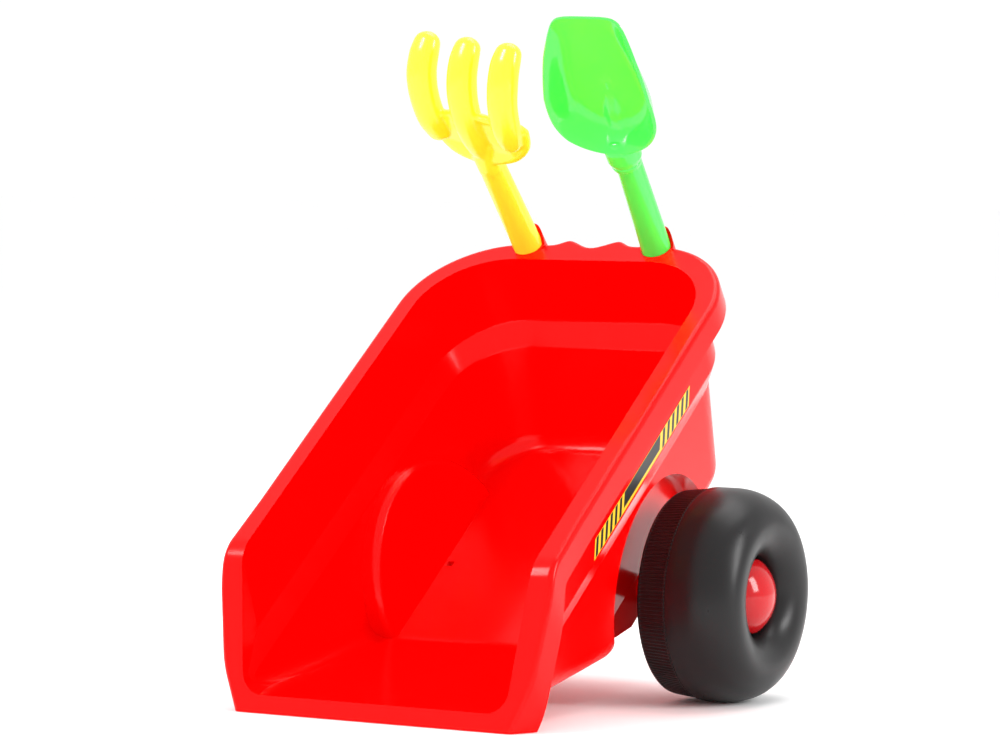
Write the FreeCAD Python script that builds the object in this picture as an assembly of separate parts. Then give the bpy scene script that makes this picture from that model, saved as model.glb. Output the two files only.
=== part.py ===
"""Child's toy wheelbarrow: a scoop-fronted moulded tray tipped forward onto its front
lip and its two fat wheels, with a rake and a shovel standing in sockets behind the tray.

Millimetres, +Z up.  The tray is drawn in its own frame (x across, s back along the rim,
n up out of the mouth) and is then tipped forward by TILT onto the ground.
"""
import math
import os
import FreeCAD
import Part
from FreeCAD import Placement, Rotation, Vector

os.makedirs("parts", exist_ok=True)

# ---- driving dimensions -------------------------------------------------------------
TILT = 35.74                # degrees the rim is tipped forward
CORNER_Z = 123.72           # height of the rim's front corner above the ground
Y_ORIGIN = 176.92           # moves the middle of the whole toy's depth to y = 0
SKIN = 3.0                  # tray wall
RIM_IN, RIM_OUT = 128.3, 145.5          # half widths inside and outside the rim
REAR_IN, REAR_OUT = 381.6, 404.5        # rear wall at the rim, rear edge of the rim
RIM_DROP = 22.5             # depth of the rim's skirt
BEND_R = 31.5               # bend where the rim turns down to the lip
LIP_S, LIP_N = -87.3, -89.6             # foot of the front rim, in the tray's frame
FRONT_TAPER = [(104.0, -118.0), (138.0, -60.0, 50.0), (147.3, -14.0, 70.0)]   # to the lip
# cavity levels: height, half width, rear wall, plan corner radius
LEVELS = [(0.0, 128.3, 381.6, 67.0), (-61.0, 126.0, 378.9, 65.0),
          (-79.0, 117.0, 364.5, 55.0), (-163.8, 109.0, 338.4, 46.0)]
RAMP_TOP, RAMP_KNEE = (-73.0, -82.0), (85.5, -163.8)
AXLE_S, AXLE_N = 181.6, -178.35         # wheel axis in the tray's frame
WELL_X, WELL_R, WELL_LEAN = 88.0, 97.0, 0.2     # end face at the floor, radius, lean outwards
# mouth of the hollow: half widths at the corner and near the lip, corner radius, depth
MOUTH, MOUTH_R, MOUTH_DEPTH, MOUTH_FLARE = (128.6, 118.0), 20.0, 60.0, 10.0
ROD_R, RUN = 4.0, 0.05      # axle rod and its running clearance
TYRE_R, TYRE_IN, TYRE_SEAM = 85.0, 128.0, 154.0
CROWN_X, CREST_R, TYRE_OUT = 170.0, 52.0, 210.0     # flat crown ends, crest of the outer bulge
DISH_R, DISH_X = 33.0, 182.0            # dish that holds the hub cap
SOCKET_S, SOCKET_DEPTH = 400.5, 52.0
HANDLE_R, SOCKET_GAP = 12.3, 0.35
HEAD_TURN = 13.0            # degrees the rake's head is turned, right-hand tine forward
TINE_R, TINE_X = 12.0, 44.0
RAKE, SHOVEL = (-58.5, 5.0, 2.0), (61.5, 3.0, -2.0)   # x, degrees of lean forward, to -X
AXLE_Y, AXLE_Z = 251.56 - Y_ORIGIN, TYRE_R

TRAY = Placement(Vector(0, -Y_ORIGIN, CORNER_Z), Rotation(Vector(1, 0, 0), TILT))
X, Y, Z = Vector(1, 0, 0), Vector(0, 1, 0), Vector(0, 0, 1)
NODES = {}


# ---- helpers ------------------------------------------------------------------------
def moved(shape, placement):
    """A copy of shape carried by placement."""
    out = shape.copy()
    out.Placement = placement.multiply(out.Placement)
    return out


def prism(points, direction):
    """Solid swept from a closed polygon."""
    return Part.Face(Part.makePolygon(points + points[:1])).extrude(direction)


def side_prism(profile, half=400.0):
    """Solid swept across the tray from (s, n) points."""
    return prism([Vector(-half, s, n) for s, n in profile], Vector(2 * half, 0, 0))


def mirrored(shape):
    """The same shape on the other side of the toy."""
    return shape.mirror(Vector(0, 0, 0), X)


def fillet(shape, radius, wanted):
    """Round the edges that the test picks out."""
    edges = [e for e in shape.Edges if wanted(e)]
    return shape.makeFillet(radius, edges) if edges else shape


def keep(name, shape):
    """Register one finished node."""
    solids = shape.Solids
    NODES[name] = solids[0] if len(solids) == 1 else Part.makeCompound(solids)


def rounded(corners, closed=True):
    """Edges through (a, b) corners in the XY plane; a third value rounds the corner."""
    pts = [Vector(c[0], c[1], 0) for c in corners]
    count, edges, ends = len(pts), [], []
    for i, corner in enumerate(corners):
        here, back, ahead = pts[i], pts[i - 1], pts[(i + 1) % count]
        if len(corner) < 3:
            ends.append((here, here, None))
            continue
        u, w = (back - here).normalize(), (ahead - here).normalize()
        half = u.getAngle(w) / 2
        reach = corner[2] / math.tan(half)
        mid = here + (u + w).normalize() * (corner[2] / math.sin(half) - corner[2])
        ends.append((here + u * reach, here + w * reach, mid))
    for i in range(count):
        first, last, mid = ends[i]
        if mid is not None:
            edges.append(Part.Arc(first, mid, last).toShape())
        start = ends[(i + 1) % count][0]
        if (closed or i < count - 1) and (start - last).Length > 1e-6:
            edges.append(Part.LineSegment(last, start).toShape())
    return edges


def turned(profile, axis_y=0.0, axis_z=0.0):
    """Solid of revolution of an (x, r) profile about the X axis through (axis_y, axis_z)."""
    solid = Part.Face(Part.Wire(rounded(profile))).revolve(Vector(0, 0, 0), X, 360)
    return moved(solid, Placement(Vector(0, axis_y, axis_z), Rotation()))


# ---- tray ---------------------------------------------------------------------------
def plan_wire(n, half, rear, corner, front=-260.0):
    """Open-fronted D outline of the tray at height n."""
    k = corner * (1 - math.sqrt(0.5))
    a, b = Vector(-half, front, n), Vector(-half, rear - corner, n)
    c, d = Vector(-half + corner, rear, n), Vector(half - corner, rear, n)
    e, f = Vector(half, rear - corner, n), Vector(half, front, n)
    return Part.Wire([
        Part.LineSegment(a, b).toShape(),
        Part.Arc(b, Vector(-half + k, rear - k, n), c).toShape(),
        Part.LineSegment(c, d).toShape(),
        Part.Arc(d, Vector(half - k, rear - k, n), e).toShape(),
        Part.LineSegment(e, f).toShape(), Part.LineSegment(f, a).toShape()])


def ramp_n(s, skin=0.0):
    """Height of the ramp floor at s, lowered square to itself by skin."""
    slope = (RAMP_KNEE[1] - RAMP_TOP[1]) / (RAMP_KNEE[0] - RAMP_TOP[0])
    return RAMP_TOP[1] + slope * (s - RAMP_TOP[0]) - skin * math.sqrt(1 + slope * slope)


def bucket(skin, bottom_r, knee_r, ledge_r):
    """The tray's hollow (skin 0) or its outer form (skin > 0)."""
    shrink = (LEVELS[2][1] - LEVELS[3][1]) / (LEVELS[2][0] - LEVELS[3][0])
    wires = []
    for n, half, rear, corner in LEVELS:
        drop = skin if n < LEVELS[2][0] - 1 else 0.0
        wires.append(plan_wire(n - drop, half + skin - drop * shrink, rear + skin - drop * 0.3,
                               corner + skin))
    lid = plan_wire(60.0, LEVELS[0][1] + skin + 2.2, LEVELS[0][2] + skin + 2.6, 69.0 + skin)
    body = Part.makeLoft([lid] + wires, True, True)
    floor = LEVELS[3][0] - skin
    knee = RAMP_TOP[0] + (floor - ramp_n(RAMP_TOP[0], skin)) / (
        (ramp_n(1.0) - ramp_n(0.0)))
    under = side_prism([(-300, ramp_n(-300, skin)), (knee, floor), (knee, -400), (-300, -400)])
    body = body.cut(under).removeSplitter()

    def on_ledge(e):
        c = e.CenterOfMass
        return any(abs(c.z - lv[0]) < 0.6 for lv in LEVELS[1:3]) and c.y > -150

    def on_floor(e):
        box = e.BoundBox
        flat = abs(box.ZMin - floor) < 0.1 and abs(box.ZMax - floor) < 0.1
        ramp = (box.ZMax - box.ZMin > 60 and box.YMax < knee + 2 and
                abs(abs(e.CenterOfMass.x) - 113) < 12 + skin)
        return (flat and box.YMax > knee + 1) or ramp

    def on_knee(e):
        box = e.BoundBox
        return box.YLength < 0.5 and abs(box.YMin - knee) < 0.5 and box.XLength > 100

    body = fillet(body, knee_r, on_knee)
    body = fillet(body, bottom_r, on_floor)
    return fillet(body, ledge_r, on_ledge)


def side_profile(inset):
    """Outline in (s, n) of everything behind the rim face, moved inwards by inset."""
    u = Vector(LIP_S, LIP_N, 0).normalize()          # down the front rim
    out = Vector(u.y, -u.x, 0)                         # forward, out of the front rim
    half = Vector(1, 0, 0).getAngle(u) / 2
    reach = BEND_R / math.tan(half)
    shift = out * (-inset)
    start = Vector(reach, -inset, 0)
    end = u * reach + shift
    mid = Vector(reach, -BEND_R, 0) + (Vector(0, 1, 0) + out).normalize() * (BEND_R - inset)
    foot = u * 330 + shift
    face = Part.Wire([
        Part.LineSegment(Vector(700, -inset, 0), start).toShape(),
        Part.Arc(start, mid, end).toShape(), Part.LineSegment(end, foot).toShape(),
        Part.LineSegment(foot, Vector(700, -600, 0)).toShape(),
        Part.LineSegment(Vector(700, -600, 0), Vector(700, -inset, 0)).toShape()])
    turn = Placement(Vector(-400, 0, 0), Rotation(Vector(1, 1, 1), 120))
    return moved(Part.Face(face).extrude(Vector(0, 0, 800)), turn)


def rim_outline(inset):
    """Plan outline of the rim: narrows to the lip, finger waves along the rear edge."""
    half, corner, rear = RIM_OUT - inset, 85.0 - inset, REAR_OUT - inset
    k = corner * (1 - math.sqrt(0.5))
    flat = half - corner
    waves = [(flat, 0), (44, 0), (34, 1.2), (24, 6.5), (14, 3.0), (0, -2.5),
             (-14, 3.0), (-24, 6.5), (-34, 1.2), (-44, 0), (-flat, 0)]
    curve = Part.BSplineCurve()
    curve.interpolate([Vector(x, rear + d, 0) for x, d in waves],
                      InitialTangent=Vector(-1, 0, 0), FinalTangent=Vector(-1, 0, 0))
    flank = [(c[0] - inset,) + c[1:] for c in FRONT_TAPER]
    flank += [(half, 60.0, 200.0), (half, rear - corner)]
    right = rounded(flank, closed=False)
    left = rounded([(-c[0],) + tuple(c[1:]) for c in flank], closed=False)
    edges = right + [
        Part.Arc(Vector(half, rear - corner, 0), Vector(half - k, rear - k, 0),
                 Vector(flat, rear, 0)).toShape(),
        curve.toShape(),
        Part.Arc(Vector(-flat, rear, 0), Vector(-half + k, rear - k, 0),
                 Vector(-half, rear - corner, 0)).toShape()] + left
    foot = [Vector(side * flank[0][0], flank[0][1], 0) for side in (-1, 1)]
    edges.append(Part.LineSegment(foot[0], foot[1]).toShape())
    wire = Part.Wire(Part.__sortEdges__(edges))
    return moved(Part.Face(wire).extrude(Vector(0, 0, 500)),
                 Placement(Vector(0, 0, -400), Rotation()))


def rim_solid(inset, round_r=0.0):
    """Everything inside the rim's outer surface, moved inwards by inset."""
    body = side_profile(inset).common(rim_outline(inset))
    if round_r:
        def outer_edge(e):
            mid = e.valueAt((e.FirstParameter + e.LastParameter) / 2)
            near = Part.Vertex(mid).distToShape(rim_face)[0] < 1e-4
            return near and e.BoundBox.XLength < 200
        rim_face = Part.makeCompound([f for f in side_profile(inset).Faces
                                      if f.BoundBox.XLength > 700 and f.BoundBox.ZMax < 1 and
                                      f.BoundBox.ZMin > -260 - 120 * (f.BoundBox.YMin > 600)])
        body = fillet(body, round_r, outer_edge)
    ground = Part.makeBox(1000, 2000, 1000, Vector(-500, -1000, inset))
    flat = Placement(Vector(0, 0, CORNER_Z), Rotation(X, TILT)).inverse()
    return body.common(moved(ground, flat))


def well(radius, near, edge_r):
    """Wheel well on the +X side: a drum about the axle with an end face that leans outwards."""
    floor = LEVELS[3][0]
    drum = Part.makeCylinder(radius, 100, Vector(60, AXLE_S, AXLE_N), X)
    beyond = [Vector(x, AXLE_S - 150, n) for x, n in (
        (0, floor - 200), (near - 200 * WELL_LEAN, floor - 200),
        (near + 200 * WELL_LEAN, floor + 200), (0, floor + 200))]
    drum = drum.cut(prism(beyond, Vector(0, 300, 0)))
    return fillet(drum, edge_r, lambda e: e.BoundBox.XMin < 120 and e.BoundBox.YLength > 100)


def mouth_block():
    """Material left round the mouth, so that the opening narrows and rounds at the lip."""
    down = Vector(0, LIP_S, LIP_N).normalize()
    back = Vector(0, RAMP_KNEE[0] - RAMP_TOP[0], RAMP_KNEE[1] - RAMP_TOP[1]).normalize()
    foot, lead = 111.5, 30.0
    taper = (MOUTH[0] - MOUTH[1]) / 95.0

    def section(depth, radius):
        grow = MOUTH_FLARE * depth / MOUTH_DEPTH
        top, low = -60.0, foot
        wide, narrow = MOUTH[0] + grow - taper * top, MOUTH[0] + grow - taper * low
        flat = rounded([(-wide, top), (wide, top), (narrow, low, radius), (-narrow, low, radius)])
        spin = Rotation(X, down, X.cross(down), "XYZ")
        return moved(Part.Wire(flat), Placement(back * depth, spin))
    tunnel = Part.makeLoft([section(-lead, MOUTH_R + 3), section(MOUTH_DEPTH, 14.0)], True, True)
    corners = [X * x + down * t - back * lead for x, t in
               ((-180, -59), (180, -59), (180, 180), (-180, 180))]
    return prism(corners, back * (lead + MOUTH_DEPTH - 0.5)).cut(tunnel)


def axle_ear():
    """Panel that hangs below the floor at the well's end face and carries the axle."""
    inner, outer = WELL_X - 1.5, WELL_X + SKIN
    hang = [(116, -158), (124, -180), (150, -191), (220, -191), (246, -180), (254, -158)]
    plate = prism([Vector(inner, s, n) for s, n in hang], Vector(outer - inner, 0, 0))
    boss = Part.makeCylinder(11.0, 9.5, Vector(82.5, AXLE_S, AXLE_N), X)
    return plate.fuse(boss)


def seat(tool):
    """Frame of a tool in its socket: Z up its handle, +Y to the back of the tray."""
    across_x, forward, across = tool
    return Placement(Vector(across_x, SOCKET_S, 0),
                     Rotation(X, forward).multiply(Rotation(Y, -across)))


def socket(tool):
    """Tool socket: a cup under the rear rim with a half collar standing behind the tool."""
    outer = HANDLE_R + SOCKET_GAP + 2.4
    cup = Part.makeCylinder(outer, SOCKET_DEPTH + 3, Vector(0, 0, -SOCKET_DEPTH - 3), Z)
    collar = Part.makeCylinder(outer, 13.0, Vector(0, 0, -1), Z)
    front = prism([Vector(-30, -30, 0.2), Vector(-30, 2, 0.2), Vector(-30, 14, 14),
                   Vector(-30, -30, 14)], Vector(60, 0, 0))
    return moved(cup.fuse(collar.cut(front)), seat(tool))


def socket_bore(tool):
    """The room the tool's handle stands in."""
    hole = Part.makeCylinder(HANDLE_R + SOCKET_GAP, SOCKET_DEPTH + 40,
                             Vector(0, 0, -SOCKET_DEPTH), Z)
    return moved(hole, seat(tool))


def tray_shell():
    hollow = bucket(0.0, 14.0, 30.0, 4.0)
    outer = bucket(SKIN, 16.0, 33.0, 4.0)
    recess, bump = well(WELL_R - SKIN, WELL_X + SKIN, 5.0), well(WELL_R, WELL_X, 8.0)
    hollow = hollow.cut(bump).cut(mirrored(bump)).cut(mouth_block())
    outer = outer.common(side_profile(0.5))
    outer = outer.cut(recess).cut(mirrored(recess))
    rim = rim_solid(0.0, 4.5).cut(rim_solid(SKIN)).cut(side_profile(RIM_DROP))
    ear = axle_ear()
    cups = [socket(RAKE), socket(SHOVEL)]
    body = outer.fuse(rim)
    for extra in [ear, mirrored(ear)] + cups:
        body = body.fuse(extra)
    body = body.cut(hollow)
    for bore in (socket_bore(RAKE), socket_bore(SHOVEL)):
        body = body.cut(bore)
    bush = Part.makeCylinder(7.0, 260, Vector(-130, AXLE_S, AXLE_N), X)
    pockets = [Part.makeBox(6, 6, 12, Vector(side * 83.0 - 3, AXLE_S - 3, LEVELS[3][0] - 5))
               for side in (-1, 1)]
    for tool in [bush] + pockets:
        body = body.cut(tool)
    return body


keep("tray_shell", moved(tray_shell(), TRAY))


# ---- hazard decals on the tray's flanks ------------------------------------------------
def decal():
    """Thin label lying on the flank between the rim's skirt and the ledge."""
    lean = math.degrees(math.atan((LEVELS[0][1] - LEVELS[1][1]) / 61.0))
    plate = prism([Vector(0, 78, -59), Vector(0, 270, -59), Vector(0, 280, -46),
                   Vector(0, 88, -46)], Vector(0.3, 0, 0))
    shift = Placement(Vector(LEVELS[0][1] + SKIN + 0.03, 0, 0), Rotation(Y, lean))
    return moved(plate, shift)


keep("decal_right", moved(decal(), TRAY))
keep("decal_left", moved(mirrored(decal()), TRAY))

# ---- axle ---------------------------------------------------------------------------
ROD_END = 195.0
rod = turned([(-ROD_END, 0), (-ROD_END, ROD_R, 0.8), (ROD_END, ROD_R, 0.8), (ROD_END, 0)],
             AXLE_Y, AXLE_Z)
keep("axle_rod", rod)
bush = turned([(80.5, ROD_R + RUN), (80.5, 9.5, 0.8), (82.5, 9.5), (82.5, 6.97), (92.0, 6.97, 0.6),
               (92.0, ROD_R + RUN)], AXLE_Y, AXLE_Z)
nut = turned([(187.6, ROD_R), (187.6, 9.0, 0.6), (189.6, 9.0), (189.6, 6.0, 0.6), (192.6, 6.0),
              (192.6, ROD_R)], AXLE_Y, AXLE_Z)
washer = turned([(92.4, ROD_R), (92.4, 9.0, 0.3), (93.6, 9.0, 0.3), (93.6, ROD_R)],
                AXLE_Y, AXLE_Z)

# ---- wheels -------------------------------------------------------------------------
tread = turned([
    (94.0, ROD_R + RUN), (94.0, 11.0, 1.0), (TYRE_IN + 4, 11.0, 3.0), (TYRE_IN + 4, 60.0, 6.0),
    (TYRE_IN, 66.0, 2.0), (TYRE_IN, 81.0, 2.5), (TYRE_SEAM, 84.2), (TYRE_SEAM, 81.0),
    (TYRE_IN + 3, 78.0, 1.5), (TYRE_IN + 3, 68.5, 1.5), (TYRE_IN + 7, 62.0, 4.0),
    (TYRE_IN + 7, 14.0, 2.0), (150.0, 14.0), (150.0, ROD_R + RUN)], AXLE_Y, AXLE_Z)
SEAM = TYRE_SEAM + 0.1


def ellipse(centre_x, centre_r, half_x, half_r, start):
    """Quarter of an ellipse in the (x, r) plane, from start degrees on."""
    centre = Vector(centre_x, centre_r, 0)
    ring = Part.Ellipse(centre + X * half_x, centre + Y * half_r, centre)
    first = math.radians(start)
    return Part.ArcOfEllipse(ring, first, first + math.pi / 2).toShape()


def line(*points):
    """Straight edges through (x, r) points."""
    pts = [Vector(x, r, 0) for x, r in points]
    return [Part.LineSegment(a, b).toShape() for a, b in zip(pts, pts[1:])]


def wheel_face():
    """Outer half of the wheel: bulged shell with a dish in its middle and a hub tube."""
    bulge, lip = TYRE_OUT - CROWN_X, TYRE_OUT - 190.0
    rise, fall = TYRE_R - CREST_R, CREST_R - DISH_R
    edges = line((SEAM, TYRE_R - SKIN), (SEAM, TYRE_R), (CROWN_X, TYRE_R))
    edges += [ellipse(CROWN_X, CREST_R, bulge, rise, 0), ellipse(190.0, CREST_R, lip, fall, 270)]
    edges += line((190.0, DISH_R), (DISH_X, DISH_R), (DISH_X, 12.0), (DISH_X + 5, 12.0),
                  (DISH_X + 5, ROD_R + RUN), (150.2, ROD_R + RUN), (150.2, 12.0),
                  (DISH_X - SKIN, 12.0), (DISH_X - SKIN, DISH_R + SKIN), (190.0, DISH_R + SKIN))
    edges += [ellipse(190.0, CREST_R, lip - SKIN, fall - SKIN, 270),
              ellipse(CROWN_X, CREST_R, bulge - SKIN, rise - SKIN, 0)]
    edges += line((CROWN_X, TYRE_R - SKIN), (SEAM, TYRE_R - SKIN))
    wire = Part.Wire(Part.__sortEdges__(edges))
    solid = Part.Face(wire).revolve(Vector(0, 0, 0), X, 360)
    return moved(solid, Placement(Vector(0, AXLE_Y, AXLE_Z), Rotation()))


def cap_dome():
    """Hollow red cap standing in the wheel's dish, domed at its outer end."""
    centre, base, radius, wall = 175.6, DISH_X + 0.3, 29.5, 2.2
    middle = Vector(centre, AXLE_Y, AXLE_Z)
    ball = Part.makeSphere(radius, middle).cut(Part.makeSphere(radius - wall, middle))
    return ball.common(Part.makeCylinder(40, 60, Vector(base, AXLE_Y, AXLE_Z), X))


face = wheel_face()
for side in ("right", "left"):
    flip = mirrored if side == "left" else (lambda shape: shape)
    keep("bearing_bush_" + side, flip(bush))
    keep("washer_" + side, flip(washer))
    keep("push_nut_" + side, flip(nut))
    keep("wheel_tread_half_" + side, flip(tread))
    keep("wheel_face_half_" + side, flip(face))
    keep("hub_cap_" + side, flip(cap_dome()))


# ---- tools --------------------------------------------------------------------------
def handle(length, top_r):
    """Hollow tapered handle standing SOCKET_DEPTH into its socket."""
    foot = 0.3 - SOCKET_DEPTH
    lower = Part.makeCylinder(HANDLE_R, -foot + 2, Vector(0, 0, foot), Z)
    upper = Part.makeCone(HANDLE_R, top_r, length, Vector(0, 0, 2), Z)
    bore = Part.makeCylinder(9.0, 2 - foot - 4, Vector(0, 0, foot - 1), Z)
    return lower.fuse(upper).removeSplitter().cut(bore)


def plug():
    """Cap closing the foot of a hollow handle."""
    foot = 0.3 - SOCKET_DEPTH
    body = Part.makeCylinder(8.9, 12.0, Vector(0, 0, foot + 0.2), Z)
    return fillet(body, 1.2, lambda e: e.BoundBox.ZMax > foot + 12)


def tine(x):
    """One thick rounded tine that curls backwards to its tip."""
    curl = [(0.90, -3, 116), (0.93, -3, 137), (0.97, 1, 155), (1.0, 8, 170), (1.0, 17, 182)]
    path = [Vector(x * k, y, z) for k, y, z in curl]
    spine = Part.BSplineCurve()
    spine.interpolate(path)
    along = spine.tangent(spine.FirstParameter)[0]
    ring = Part.Wire([Part.Circle(path[0], along, TINE_R).toShape()])
    body = Part.Wire([spine.toShape()]).makePipeShell([ring], True, False)
    return body.fuse(Part.makeSphere(TINE_R, path[0])).fuse(Part.makeSphere(TINE_R, path[-1]))


def rake_head():
    outline = [(-13, 97), (13, 97), (34, 101), (47, 113), (47, 132), (-47, 132), (-47, 113),
               (-34, 101)]
    web = prism([Vector(x, -6, z) for x, z in outline], Vector(0, 8, 0))
    body = fillet(web, 2.5, lambda e: e.BoundBox.YLength < 0.1)
    body = body.fuse(Part.makeCone(11.2, 12.5, 16, Vector(0, 0, 88.3), Z))
    side_tine = tine(TINE_X)
    for part in (tine(0.0), side_tine, mirrored(side_tine)):
        body = body.fuse(part)
    return moved(body.removeSplitter(), Placement(Vector(0, 0, 0), Rotation(Z, -HEAD_TURN)))


def scoop(inset, back):
    """Filled form of the shovel's pan, drawn in by inset, its floor at y = back."""
    right = [(13, 111), (38, 126), (46, 150), (44, 176), (38, 206), (29, 232)]
    outline = right + [(-x, z) for x, z in reversed(right)]
    pts = [Vector(x * (1 - inset / 45.0), back, 111 + inset + (z - 111) * (1 - inset / 80.0))
           for x, z in outline]
    return fillet(prism(pts, Vector(0, -60, 0)), 8.0, lambda e: e.BoundBox.YLength > 50)


def shovel_blade():
    """Square-shouldered open scoop with side walls and a rounded neck."""
    front = prism([Vector(-60, -60, 90), Vector(-60, -24, 90), Vector(-60, -22, 130),
                   Vector(-60, -8, 215), Vector(-60, -3, 250), Vector(-60, -60, 250)],
                  Vector(120, 0, 0))
    return scoop(0.0, 3.0).cut(front).cut(scoop(2.6, 0.4)).removeSplitter()


def ball_collar(z, r):
    """Ball-like neck between the handle and the blade."""
    band = Part.makeBox(60, 60, 24, Vector(-30, -30, z - 10.5))
    return Part.makeSphere(r, Vector(0, -4, z)).common(band).cut(scoop(0.0, 3.0))


place = TRAY.multiply(seat(RAKE))
keep("rake_handle", moved(handle(86.0, 11.2), place))
keep("rake_end_plug", moved(plug(), place))
keep("rake_head", moved(rake_head(), place))
place = TRAY.multiply(seat(SHOVEL))
keep("shovel_handle", moved(handle(90.0, 10.8), place))
keep("shovel_end_plug", moved(plug(), place))
keep("shovel_neck", moved(ball_collar(102.8, 14.0), place))
keep("shovel_blade", moved(shovel_blade(), place))

# ---- output -------------------------------------------------------------------------
for name, shape in NODES.items():
    shape.exportStep("parts/%s.step" % name)
    box = shape.optimalBoundingBox()
    print("%-24s %s solids=%d  x %.1f..%.1f  y %.1f..%.1f  z %.1f..%.1f  vol %.0f" % (
        name, shape.isValid(), len(shape.Solids), box.XMin, box.XMax, box.YMin, box.YMax,
        box.ZMin, box.ZMax, shape.Volume))
low = min(s.optimalBoundingBox().YMin for s in NODES.values())
high = max(s.optimalBoundingBox().YMax for s in NODES.values())
print("depth %.2f..%.2f" % (low, high))
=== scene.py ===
"""Looks of the toy wheelbarrow: materials, detailed wheels, tools and labels round the CAD frame.

Metres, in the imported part's frame.  Shapes are drawn in millimetres in the tray's, axle's and
tools' own frames, which repeat the ones the solids were drawn in.
"""
import math
import bpy
import numpy as np
from mathutils import Matrix, Vector


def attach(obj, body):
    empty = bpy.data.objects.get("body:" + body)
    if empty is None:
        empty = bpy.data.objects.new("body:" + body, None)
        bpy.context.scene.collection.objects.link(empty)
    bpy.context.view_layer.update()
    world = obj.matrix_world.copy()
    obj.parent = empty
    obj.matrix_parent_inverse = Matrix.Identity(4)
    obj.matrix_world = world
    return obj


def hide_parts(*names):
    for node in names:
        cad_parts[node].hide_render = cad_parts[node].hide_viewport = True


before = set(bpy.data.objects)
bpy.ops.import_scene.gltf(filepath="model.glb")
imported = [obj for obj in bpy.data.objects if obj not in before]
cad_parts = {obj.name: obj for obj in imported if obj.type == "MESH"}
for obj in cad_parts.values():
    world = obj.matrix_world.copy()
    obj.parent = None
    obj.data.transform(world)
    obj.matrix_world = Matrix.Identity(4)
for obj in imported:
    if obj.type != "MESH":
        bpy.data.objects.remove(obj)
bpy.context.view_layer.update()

MM = 0.001
TILT, CORNER_Z, Y_ORIGIN = math.radians(35.74), 123.72, 176.92
AXLE_Y, AXLE_Z = 251.56 - Y_ORIGIN, 85.0
SOCKET_S, SOCKET_DEPTH = 400.5, 52.0
RAKE, SHOVEL = (-58.5, 5.0, 2.0), (61.5, 3.0, -2.0)     # x, degrees of lean forward, to -X
HEAD_TURN = 13.0


# ---- frames --------------------------------------------------------------------------
def tray_matrix():
    """Tray frame (x across, s along the rim, n out of the mouth), millimetres to metres."""
    lift = Matrix.Translation(Vector((0, -Y_ORIGIN, CORNER_Z)) * MM)
    return lift @ Matrix.Rotation(TILT, 4, "X") @ Matrix.Scale(MM, 4)


def tool_matrix(tool):
    """A tool's frame: Z up its handle from the rim, +Y to the back of the tray."""
    across_x, forward, across = tool
    return (tray_matrix() @ Matrix.Translation(Vector((across_x, SOCKET_S, 0))) @
            Matrix.Rotation(math.radians(forward), 4, "X") @
            Matrix.Rotation(math.radians(-across), 4, "Y"))


# ---- mesh helpers ---------------------------------------------------------------------
def mesh_object(name, verts, faces, mat=None, matrix=None, smooth=True, angle=None):
    """New object from points and faces, moved by matrix into the part's frame."""
    mesh = bpy.data.meshes.new(name)
    if matrix is not None:
        m = np.array(matrix)
        verts = np.asarray(verts, float) @ m[:3, :3].T + m[:3, 3]
    mesh.from_pydata([tuple(v) for v in np.asarray(verts, float)], [], faces)
    mesh.validate()
    mesh.update()
    obj = bpy.data.objects.new(name, mesh)
    bpy.context.scene.collection.objects.link(obj)
    for poly in mesh.polygons:
        poly.use_smooth = smooth
    if angle is not None:
        mesh.set_sharp_from_angle(angle=math.radians(angle))
    if mat is not None:
        mesh.materials.append(mat)
    return obj


def grid_faces(rows, cols, wrap_rows=False, flip=False):
    """Quads over rows of points, each row a closed ring."""
    faces = []
    for i in range(rows if wrap_rows else rows - 1):
        for j in range(cols):
            a, b = i * cols + j, i * cols + (j + 1) % cols
            c, d = ((i + 1) % rows) * cols + (j + 1) % cols, ((i + 1) % rows) * cols + j
            faces.append((a, d, c, b) if flip else (a, b, c, d))
    return faces


def rounded_path(corners, step=7.0, closed=True):
    """Points along (a, b) corners; a third value rounds that corner with an arc."""
    out, count = [], len(corners)
    for i, corner in enumerate(corners):
        here = Vector(corner[:2])
        ends = i in (0, count - 1) and not closed
        if len(corner) < 3 or ends:
            out.append(tuple(here))
            continue
        u = (Vector(corners[i - 1][:2]) - here).normalized()
        w = (Vector(corners[(i + 1) % count][:2]) - here).normalized()
        half = u.angle(w) / 2
        reach = corner[2] / math.tan(half)
        centre = here + (u + w).normalized() * (corner[2] / math.sin(half))
        start, stop = here + u * reach - centre, here + w * reach - centre
        turn = start.angle_signed(stop)
        steps = max(2, int(abs(math.degrees(turn)) / step))
        for k in range(steps + 1):
            a = -turn * k / steps
            out.append((centre.x + start.x * math.cos(a) - start.y * math.sin(a),
                        centre.y + start.x * math.sin(a) + start.y * math.cos(a)))
    return out


def lathe(name, profile, mat, segments=128, matrix=None, axis="Z", radius=None, mirror=False,
          closed=True, angle=40):
    """Solid of revolution of (along, r) points; radius(index, angles, along, r) may vary r."""
    t = np.arange(segments) * 2 * math.pi / segments
    verts = []
    for i, (a, r) in enumerate(profile):
        rr = np.full(segments, r) if radius is None else radius(i, t, a, r)
        c, s = rr * np.cos(t), rr * np.sin(t)
        along = np.full(segments, -a if mirror else a)
        verts.append(np.stack([along, c, s] if axis == "X" else [c, s, along], -1))
    faces = grid_faces(len(profile), segments, wrap_rows=closed, flip=(axis == "X") != mirror)
    return mesh_object(name, np.concatenate(verts), faces, mat, matrix, angle=angle)


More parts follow.
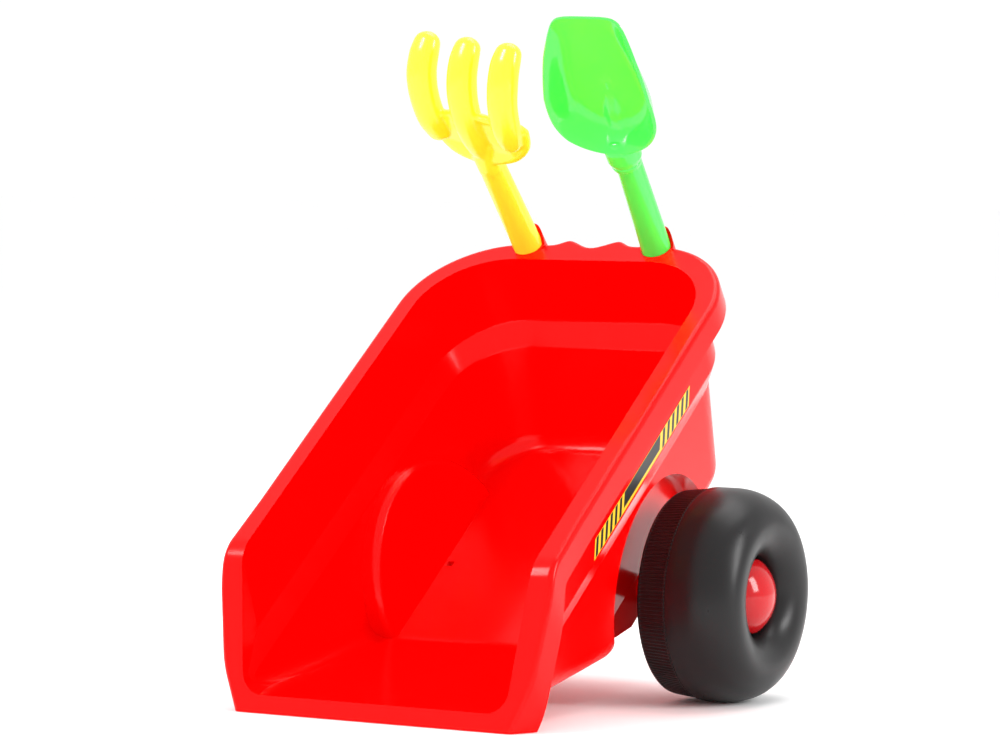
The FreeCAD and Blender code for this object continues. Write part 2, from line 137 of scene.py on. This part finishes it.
def catmull(points, per=8, closed=False):
    """Smooth curve through points."""
    p = np.asarray(points, float)
    n = len(p)
    out = []
    for i in range(n if closed else n - 1):
        if closed:
            a, b, c, d = p[i - 1], p[i], p[(i + 1) % n], p[(i + 2) % n]
        else:
            a, b, c, d = p[max(i - 1, 0)], p[i], p[i + 1], p[min(i + 2, n - 1)]
        for k in range(per):
            u = k / per
            out.append(0.5 * (2 * b + (c - a) * u + (2 * a - 5 * b + 4 * c - d) * u * u +
                              (3 * b - a - 3 * c + d) * u ** 3))
    if not closed:
        out.append(p[-1])
    return np.array(out)


def sweep(points, half_x, half_y, sides=32, power=2.3):
    """Tube round a path in a plane of constant x, with round ends; returns verts, faces."""
    p = np.asarray(points, float)
    n = len(p)
    rings = []
    for i in range(n):
        tangent = p[min(i + 1, n - 1)] - p[max(i - 1, 0)]
        tangent /= np.linalg.norm(tangent)
        side = np.array([1.0, 0, 0])
        side -= tangent * (side @ tangent)
        side /= np.linalg.norm(side)
        rings.append((p[i], tangent, side, np.cross(tangent, side), 1.0, half_x[i], half_y[i]))
    caps = [math.radians(v) for v in (15, 35, 55, 75, 88)]      # rings of the round ends
    first, last = rings[0], rings[-1]
    start = [(first[0] - first[1] * math.sin(a) * first[6],) + first[1:4] + (math.cos(a),) +
             first[5:] for a in caps[::-1]]
    stop = [(last[0] + last[1] * math.sin(a) * last[6],) + last[1:4] + (math.cos(a),) +
            last[5:] for a in caps]
    verts = []
    t = np.arange(sides) * 2 * math.pi / sides
    cx = np.sign(np.cos(t)) * np.abs(np.cos(t)) ** (2 / power)
    cy = np.sign(np.sin(t)) * np.abs(np.sin(t)) ** (2 / power)
    for centre, _, side, up, k, hx, hy in start + rings + stop:
        verts.append(centre + np.outer(cx * hx * k, side) + np.outer(cy * hy * k, up))
    total = len(verts)
    faces = grid_faces(total, sides, flip=True)
    faces += [tuple(range(sides)), tuple(reversed(range((total - 1) * sides, total * sides)))]
    return np.concatenate(verts), faces


def joined(parts):
    """Several (verts, faces) as one."""
    verts, faces, base = [], [], 0
    for v, f in parts:
        verts.append(np.asarray(v, float))
        faces += [tuple(i + base for i in face) for face in f]
        base += len(v)
    return np.concatenate(verts), faces


def melted(name, verts, faces, mat, matrix, voxel, smooth_steps):
    """One smooth moulded skin round overlapping solids."""
    rough = mesh_object(name + "_rough", verts, faces, None, matrix)
    mod = rough.modifiers.new("skin", "REMESH")
    mod.mode, mod.voxel_size = "VOXEL", voxel * MM
    soft = rough.modifiers.new("soft", "SMOOTH")
    soft.factor, soft.iterations = 0.5, smooth_steps
    graph = bpy.context.evaluated_depsgraph_get()
    mesh = bpy.data.meshes.new_from_object(rough.evaluated_get(graph))
    mesh.name = name
    bpy.data.objects.remove(rough)
    obj = bpy.data.objects.new(name, mesh)
    bpy.context.scene.collection.objects.link(obj)
    for poly in mesh.polygons:
        poly.use_smooth = True
    mesh.materials.clear()
    mesh.materials.append(mat)
    return obj


def stands_for(obj, node, body):
    """The piece rides its body and shows one CAD node."""
    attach(obj, body)
    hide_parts(node)


# ---- materials ------------------------------------------------------------------------
def plastic(name, colour, shade, roughness, coat=0.0, grain=0.02, scale=900.0, gleam=0.5,
            soft=0.0, spread=0.10):
    """Moulded plastic: faint flow marks in the colour, uneven gloss, fine surface texture."""
    mat = bpy.data.materials.new(name)
    mat.use_nodes = True
    nodes, links = mat.node_tree.nodes, mat.node_tree.links
    shader = nodes["Principled BSDF"]
    coords = nodes.new("ShaderNodeTexCoord")
    flow = nodes.new("ShaderNodeTexNoise")
    flow.inputs["Scale"].default_value = 9.0
    flow.inputs["Detail"].default_value = 3.0
    links.new(coords.outputs["Object"], flow.inputs["Vector"])
    mix = nodes.new("ShaderNodeMix")
    mix.data_type = "RGBA"
    mix.inputs[6].default_value = (*colour, 1)
    mix.inputs[7].default_value = (*shade, 1)
    links.new(flow.outputs["Fac"], mix.inputs[0])
    links.new(mix.outputs[2], shader.inputs["Base Color"])
    gloss = nodes.new("ShaderNodeMapRange")
    gloss.inputs["From Min"].default_value = 0.3
    gloss.inputs["From Max"].default_value = 0.7
    gloss.inputs["To Min"].default_value = roughness * (1 - spread)
    gloss.inputs["To Max"].default_value = roughness * (1 + spread)
    patch = nodes.new("ShaderNodeTexNoise")
    patch.inputs["Scale"].default_value = 28.0
    patch.inputs["Detail"].default_value = 4.0
    links.new(coords.outputs["Object"], patch.inputs["Vector"])
    links.new(patch.outputs["Fac"], gloss.inputs["Value"])
    links.new(gloss.outputs["Result"], shader.inputs["Roughness"])
    fine = nodes.new("ShaderNodeTexNoise")
    fine.inputs["Scale"].default_value = scale
    fine.inputs["Detail"].default_value = 2.0
    links.new(coords.outputs["Object"], fine.inputs["Vector"])
    bump = nodes.new("ShaderNodeBump")
    bump.inputs["Strength"].default_value = grain
    bump.inputs["Distance"].default_value = 0.0004
    links.new(fine.outputs["Fac"], bump.inputs["Height"])
    links.new(bump.outputs["Normal"], shader.inputs["Normal"])
    shader.inputs["IOR"].default_value = 1.5
    shader.inputs["Specular IOR Level"].default_value = gleam
    shader.inputs["Coat Weight"].default_value = coat
    shader.inputs["Coat Roughness"].default_value = 0.06
    if soft:
        shader.inputs["Subsurface Weight"].default_value = soft
        shader.inputs["Subsurface Radius"].default_value = (0.012, 0.010, 0.006)
        shader.inputs["Subsurface Scale"].default_value = 1.0
    return mat


def steel(name):
    """Zinc-plated steel with fine drawing marks along X."""
    mat = bpy.data.materials.new(name)
    mat.use_nodes = True
    nodes, links = mat.node_tree.nodes, mat.node_tree.links
    shader = nodes["Principled BSDF"]
    shader.inputs["Metallic"].default_value = 1.0
    coords = nodes.new("ShaderNodeTexCoord")
    stretch = nodes.new("ShaderNodeMapping")
    stretch.inputs["Scale"].default_value = (20, 900, 900)
    links.new(coords.outputs["Object"], stretch.inputs["Vector"])
    marks = nodes.new("ShaderNodeTexNoise")
    marks.inputs["Scale"].default_value = 1.0
    links.new(stretch.outputs["Vector"], marks.inputs["Vector"])
    ramp = nodes.new("ShaderNodeMapRange")
    ramp.inputs["To Min"].default_value = 0.22
    ramp.inputs["To Max"].default_value = 0.42
    links.new(marks.outputs["Fac"], ramp.inputs["Value"])
    links.new(ramp.outputs["Result"], shader.inputs["Roughness"])
    tint = nodes.new("ShaderNodeMix")
    tint.data_type = "RGBA"
    tint.inputs[6].default_value = (0.56, 0.57, 0.58, 1)
    tint.inputs[7].default_value = (0.70, 0.70, 0.69, 1)
    links.new(marks.outputs["Fac"], tint.inputs[0])
    links.new(tint.outputs[2], shader.inputs["Base Color"])
    return mat


RED = plastic("red_plastic", (0.95, 0.0003, 0.0003), (0.90, 0.0002, 0.0002), 0.17, coat=0.0,
              gleam=0.15)
CAP_RED = plastic("cap_red", (0.50, 0.002, 0.006), (0.44, 0.002, 0.005), 0.12, coat=0.06,
                  gleam=0.35)
BLACK = plastic("black_plastic", (0.0075, 0.007, 0.0075), (0.011, 0.0105, 0.011), 0.34,
                grain=0.10, scale=1400.0, spread=0.2, gleam=0.26)
YELLOW = plastic("yellow_plastic", (1.0, 0.80, 0.015), (1.0, 0.84, 0.04), 0.22, coat=0.15,
                 soft=0.3)
GREEN = plastic("green_plastic", (0.045, 0.86, 0.065), (0.07, 0.90, 0.10), 0.14, coat=0.25,
                soft=0.25)
NYLON = plastic("nylon", (0.72, 0.70, 0.64), (0.78, 0.76, 0.70), 0.4, grain=0.08)
STEEL = steel("zinc_steel")
PRINT_YELLOW = plastic("print_yellow", (0.90, 0.56, 0.03), (0.86, 0.50, 0.03), 0.32, grain=0.05)
PRINT_BLACK = plastic("print_black", (0.012, 0.012, 0.012), (0.02, 0.02, 0.02), 0.32, grain=0.05)


# ---- CAD nodes that stay ----------------------------------------------------------------
def dress(node, mat, angle=32):
    """Gives a CAD node its material and smooth, crisp-edged shading."""
    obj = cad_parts[node]
    obj.data.materials.clear()
    obj.data.materials.append(mat)
    for poly in obj.data.polygons:
        poly.use_smooth = True
    split = obj.modifiers.new("edges", "EDGE_SPLIT")
    split.split_angle = math.radians(angle)
    weight = obj.modifiers.new("shading", "WEIGHTED_NORMAL")
    weight.mode, weight.weight, weight.keep_sharp = "FACE_AREA", 50, True


dress("tray_shell", RED)
dress("axle_rod", STEEL)
for side in ("left", "right"):
    dress("bearing_bush_" + side, NYLON)
    dress("washer_" + side, STEEL)
    dress("push_nut_" + side, STEEL)
dress("rake_end_plug", YELLOW)
dress("shovel_end_plug", GREEN)


# ---- wheels -----------------------------------------------------------------------------
RIBS = 168
AXLE = Matrix.Translation(Vector((0, AXLE_Y, AXLE_Z)) * MM) @ Matrix.Scale(MM, 4)


def tread_half(side):
    """Inner half of the wheel: ribbed tread, recessed disc and hub tube."""
    band = [(128.0, 79.5), (128.25, 80.5), (128.9, 81.1), (130.2, 81.45), (130.8, 81.6),
            (136.0, 82.2), (142.0, 82.8), (148.0, 83.4), (151.4, 83.75), (152.0, 83.8),
            (152.2, 84.3), (152.6, 84.75), (153.4, 84.75), (153.9, 84.3)]
    disc = rounded_path([(154.0, 81.0), (131.0, 78.0, 1.5), (131.0, 68.5, 1.5), (135.0, 62.0, 4.0),
                         (135.0, 14.0, 2.0), (150.0, 14.0), (150.0, 4.05), (94.0, 4.05),
                         (94.0, 11.0, 1.0), (132.0, 11.0, 3.0), (132.0, 60.0, 6.0),
                         (128.0, 66.0, 2.0)], step=18.0, closed=False)
    profile = band + disc

    def radius(i, t, along, r):
        if i >= len(band):
            return np.full(len(t), r)
        k = np.arange(len(t)) % 4
        if 130.5 < along < 151.6:
            return r - np.where(k >= 2, 0.75, 0.0)
        if 152.1 < along < 154.0:
            return r - np.where(k >= 2, 0.55, 0.0)
        return np.full(len(t), r)
    obj = lathe("wheel_tread_" + side, profile, BLACK, RIBS * 4, AXLE, "X", radius,
                side == "left", angle=30)
    stands_for(obj, "wheel_tread_half_" + side, "wheel_" + side)


def quarter(centre_x, centre_r, half_x, half_r, first, last, steps=26):
    """Points on an ellipse in the (x, r) plane between two angles in degrees."""
    return [(centre_x + half_x * math.cos(math.radians(a)),
             centre_r + half_r * math.sin(math.radians(a)))
            for a in np.linspace(first, last, steps)]


def face_half(side):
    """Outer half of the wheel: one smooth rounded ring about a deep dish."""
    profile = [(154.1, 82.0), (154.1, 84.3), (154.35, 84.8), (154.9, 85.0), (162.0, 85.0)]
    crown_end, lip_centre, crest_r = 170, 188.2, 58
    profile += quarter(crown_end, crest_r, 38.2, 27, 90, 0)
    profile += quarter(lip_centre, crest_r, 20, 26, -3, -86, 24)
    profile += [(188.6, 32.0), (187.6, 31.7), (182.4, 31.7), (182.0, 31.3), (182.0, 13.0),
                (182.4, 12.2), (186.2, 12.0), (187.0, 11.2), (187.0, 4.05), (150.2, 4.05),
                (150.2, 12.0), (179.0, 12.0), (179.0, 35.0)]
    profile += quarter(lip_centre, crest_r, 17, 23, -90, 0, 10)
    profile += quarter(crown_end, crest_r, 35.2, 24, 4, 90, 14)
    obj = lathe("wheel_face_" + side, profile, BLACK, 192, AXLE, "X", None, side == "left")
    stands_for(obj, "wheel_face_half_" + side, "wheel_" + side)


def hub_cap(side):
    """Red dome standing in the dish, a thin bead round its foot."""
    base, reach, rise, wall = 191.5, 29.2, 14.5, 2.2      # foot of the dome, its radius, height
    radius = (reach * reach + rise * rise) / (2 * rise)
    centre, stop = base + rise - radius, math.asin(reach / radius)
    dome = [(centre + radius * math.cos(a), radius * math.sin(a))
            for a in np.linspace(0.0008, stop, 30)]
    foot = [(190.9, 29.35), (190.3, 29.3), (189.9, 29.0), (183.0, 28.9), (182.3, 28.6)]
    inside = [(182.3, 26.8), (base - 0.5, 26.8)] + [
        (centre + (radius - wall) * math.cos(a), (radius - wall) * math.sin(a))
        for a in np.linspace(stop, 0.0008, 14)]
    obj = lathe("hub_cap_shell_" + side, dome + foot + inside, CAP_RED, 128, AXLE, "X",
                None, side == "left", closed=False)
    stands_for(obj, "hub_cap_" + side, "wheel_" + side)


for side in ("right", "left"):
    tread_half(side)
    face_half(side)
    hub_cap(side)


# ---- labels -----------------------------------------------------------------------------
def label(side):
    """Hazard-striped label with a plain dark middle field between two yellow lines."""
    low, high, lean = -59.0, -46.0, 10.0        # lower and upper edge, slant of the stripes
    start, left_end, right_start, stop = 78.0, 134.0, 212.0, 270.0
    flank_x, flank_slope = 131.35, 2.3 / 61.0   # outer face of the flank at the rim, its draft
    paper, print_lift, stripes = 0.22, 0.27, 6
    verts, faces, mats = [], [], []

    def strip(s0, s1, n0, n1, mat, lift):
        base = len(verts)
        for s, n in ((s0, n0), (s1, n0), (s1, n1), (s0, n1)):
            shift = lean * (n - low) / (high - low)
            x = flank_x + n * flank_slope + lift
            verts.append((x if side == "right" else -x, s + shift, n))
        faces.append((base, base + 1, base + 2, base + 3) if side == "right" else
                     (base + 3, base + 2, base + 1, base))
        mats.append(mat)
    strip(start, stop, low, high, 0, paper)
    for first, last in ((start, left_end), (right_start, stop)):
        pitch = (last - first) / stripes
        for k in range(stripes):
            a = first + pitch * (k + 0.25)
            strip(a, a + pitch * 0.5, low + 0.4, high - 0.4, 1, print_lift)
    strip(left_end + 2, right_start - 3, low + 2.6, high - 0.4, 1, print_lift)
    obj = mesh_object("label_" + side, verts, faces, PRINT_YELLOW, tray_matrix(), smooth=False)
    obj.data.materials.append(PRINT_BLACK)
    for poly, m in zip(obj.data.polygons, mats):
        poly.material_index = m
    stands_for(obj, "decal_" + side, "tray")


for side in ("right", "left"):
    label(side)


# ---- tools ------------------------------------------------------------------------------
def tool_handle(name, node, body, mat, tool, length, top_r):
    """Hollow tapered grip with a rolled foot and faint mould parting line."""
    foot = 0.3 - SOCKET_DEPTH
    outer = [(foot, 9.2), (foot, 11.4), (foot + 0.4, 12.0), (foot + 1.2, 12.3), (-20.0, 12.3),
             (2.0, 12.3)]
    steps = 16
    outer += [(2.0 + length * k / steps, 12.3 + (top_r - 12.3) * k / steps)
              for k in range(1, steps + 1)]
    inner = [(2.0 + length, 9.0), (foot + 1.0, 9.0)]

    def radius(i, t, along, r):
        seam = np.exp(-(np.minimum(np.abs(t), np.abs(t - math.pi)) / 0.03) ** 2)
        return r + (0.12 * seam if r > 10 and along > -15 else 0.0)
    obj = lathe(name, outer + inner, mat, 160, tool_matrix(tool), "Z", radius)
    stands_for(obj, node, body)


tool_handle("rake_grip", "rake_handle", "rake", YELLOW, RAKE, 86.0, 11.2)
tool_handle("shovel_grip", "shovel_handle", "shovel", GREEN, SHOVEL, 90.0, 10.8)


def rake_claw():
    """Three thick curled tines on a curved web, moulded as one with the neck."""
    curl = [(0.84, -2.5, 108), (0.88, -3.5, 122), (0.93, -3.5, 138), (0.97, 0.5, 156),
            (1.0, 8, 171), (1.0, 17.5, 182), (1.0, 27, 189)]
    parts = []
    for x in (-44.0, 0.0, 44.0):
        low = 1 if x else 0
        path = catmull([(x * k, y, z) for k, y, z in curl[low:]], 6)
        size = np.interp(np.linspace(0, 1, len(path)), [0, 0.15, 0.6, 0.85, 1],
                         [10.5, 12.4, 13.0, 12.6, 11.4])
        parts.append(sweep(path, size, size * 0.84))
    outline = catmull([(-47, 134), (-51, 124), (-46, 111), (-33, 101), (-15, 96), (0, 95),
                       (15, 96), (33, 101), (46, 111), (51, 124), (47, 134), (24, 143), (0, 147),
                       (-24, 143)], 6, closed=True)
    rings = []
    for y, grow in ((-7.0, 0.90), (-6.4, 0.97), (-4.0, 1.0), (-1.5, 1.0), (0.6, 0.97), (1.2, 0.90)):
        c = np.array([0, 120.0])
        q = c + (outline - c) * grow
        rings.append(np.stack([q[:, 0], np.full(len(q), y) + 0.0030 * q[:, 0] ** 2, q[:, 1]], -1))
    n = len(outline)
    faces = grid_faces(len(rings), n, flip=False)
    faces += [tuple(reversed(range(n))), tuple(range((len(rings) - 1) * n, len(rings) * n))]
    parts.append((np.concatenate(rings), faces))
    bead = [(x, -2.8 + 0.0030 * x * x, z) for x, z in
            catmull([(-49, 126), (-45, 112), (-33, 102), (-15, 98), (0, 97), (15, 98), (33, 102),
                     (45, 112), (49, 126)], 6)]
    parts.append(sweep(bead, np.full(len(bead), 4.4), np.full(len(bead), 4.4), sides=20, power=2))
    neck = [(0, -1.2 * k, 86 + 24 * k) for k in np.linspace(0, 1, 8)]
    parts.append(sweep(neck, np.linspace(11.2, 13.6, 8), np.linspace(11.2, 8.0, 8)))
    verts, faces = joined(parts)
    turn = tool_matrix(RAKE) @ Matrix.Rotation(math.radians(-HEAD_TURN), 4, "Z")
    obj = melted("rake_claw", verts, faces, YELLOW, turn, 1.1, 6)
    stands_for(obj, "rake_head", "rake")


def shovel_scoop():
    """Square-shouldered scoop: floor sweeping up into side walls, tongue by the neck."""
    right = [(19, 232.5), (27.5, 229.5), (32.5, 221), (38.5, 203), (42.5, 185), (45.3, 165),
             (45.6, 148), (43, 136), (36, 125.5), (25, 117), (12, 112)]
    outline = catmull([(0, 233)] + right + [(0, 110.5)] + [(-x, z) for x, z in reversed(right)],
                      8, closed=True)
    centre = np.array([0.0, 168.0])
    verts, count = [], len(outline)
    scales = [1.0, 0.985, 0.965, 0.94, 0.91, 0.88, 0.84, 0.79, 0.72, 0.6, 0.45, 0.3, 0.15, 0.02]
    for f in scales:
        q = centre + (outline - centre) * f
        wall = np.clip((f - 0.74) / 0.26, 0, 1)
        wall = wall * wall * (3 - 2 * wall) * 0.4 + wall * 0.6
        depth = np.interp(outline[:, 1], [110, 125, 165, 200, 224, 233], [19, 22, 21, 13, 4.5, 2.0])
        bowl = 1.5 * (1 - f) ** 0.8
        tongue = 2.8 * np.exp(-(q[:, 0] / 7.5) ** 4) * np.clip((150 - q[:, 1]) / 10, 0, 1)
        y = 2.0 + bowl - depth * wall - tongue * (1 - wall)
        verts.append(np.stack([q[:, 0], y, q[:, 1]], -1))
    faces = grid_faces(len(scales), count, flip=True)
    faces.append(tuple(range((len(scales) - 1) * count, len(scales) * count)))
    obj = mesh_object("shovel_scoop", np.concatenate(verts), faces, GREEN, tool_matrix(SHOVEL))
    thick = obj.modifiers.new("wall", "SOLIDIFY")
    thick.thickness, thick.offset = 2.6 * MM, -1.0
    soft = obj.modifiers.new("edge", "BEVEL")
    soft.width, soft.segments, soft.limit_method = 0.9 * MM, 3, "ANGLE"
    soft.angle_limit = math.radians(50)
    stands_for(obj, "shovel_blade", "shovel")


def shovel_ball():
    """Rounded neck between grip and scoop, with its moulding seam."""
    profile = rounded_path([(88.5, 0.05), (88.5, 11.6, 0.6), (92.0, 12.6, 1.0), (92.8, 12.1, 0.4),
                            (93.6, 12.8, 0.5), (97.5, 14.4, 5.0), (108.0, 14.6, 7.0),
                            (117.0, 9.5, 5.0), (118.5, 0.05)], step=9.0, closed=False)
    obj = lathe("shovel_ball", profile, GREEN, 96,
                tool_matrix(SHOVEL) @ Matrix.Translation(Vector((0, -3.0, 0))), "Z", closed=False)
    stands_for(obj, "shovel_neck", "shovel")


rake_claw()
shovel_scoop()
shovel_ball()


# ---- floor, lights and camera ---------------------------------------------------------------
def studio():
    size = 60.0
    floor = mesh_object("floor", [(-size, -size, -0.0004), (size, -size, -0.0004),
                                  (size, size, -0.0004), (-size, size, -0.0004)],
                        [(0, 1, 2, 3)], plastic("floor_paper", (0.97, 0.97, 0.97),
                                                (0.96, 0.96, 0.96), 0.8, grain=0.01, gleam=0.2))
    world = bpy.data.worlds.new("studio")
    bpy.context.scene.world = world
    world.use_nodes = True
    sky = world.node_tree.nodes["Background"]
    sky.inputs["Color"].default_value = (1, 1, 1, 1)
    sky.inputs["Strength"].default_value = 1.04
    for name, place, aim, size_xy, power in (
            ("key", (-1.6, -2.2, 2.6), (0, 0, 0.15), (1.0, 1.0), 60),
            ("side", (2.6, 0.3, 1.2), (0.1, 0, 0.2), (0.7, 1.4), 44),
            ("top", (0.2, 0.9, 2.8), (0, 0, 0.2), (2.4, 1.6), 34)):
        data = bpy.data.lights.new(name, "AREA")
        data.shape, data.size, data.size_y, data.energy = "RECTANGLE", *size_xy, power
        lamp = bpy.data.objects.new(name, data)
        bpy.context.scene.collection.objects.link(lamp)
        lamp.location = place
        lamp.rotation_euler = (Vector(aim) - Vector(place)).to_track_quat("-Z", "Y").to_euler()
    bpy.context.scene.view_settings.view_transform = "Standard"


def camera():
    """A long lens from the front right; the whole shot leans back by a degree."""
    turn, down, lean = math.radians(29.6), math.radians(3.67), math.radians(1.14)
    data = bpy.data.cameras.new("camera")
    data.lens, data.sensor_width = 151.2, 36.0
    data.clip_end = 200
    cam = bpy.data.objects.new("camera", data)
    bpy.context.scene.collection.objects.link(cam)
    spin = (Matrix.Rotation(lean, 4, "X") @ Matrix.Rotation(turn, 4, "Z") @
            Matrix.Rotation(math.pi / 2 - down, 4, "X"))
    cam.matrix_world = Matrix.Translation(Vector((1.6481, -2.9053, 0.4132))) @ spin
    bpy.context.scene.camera = cam


studio()
camera()
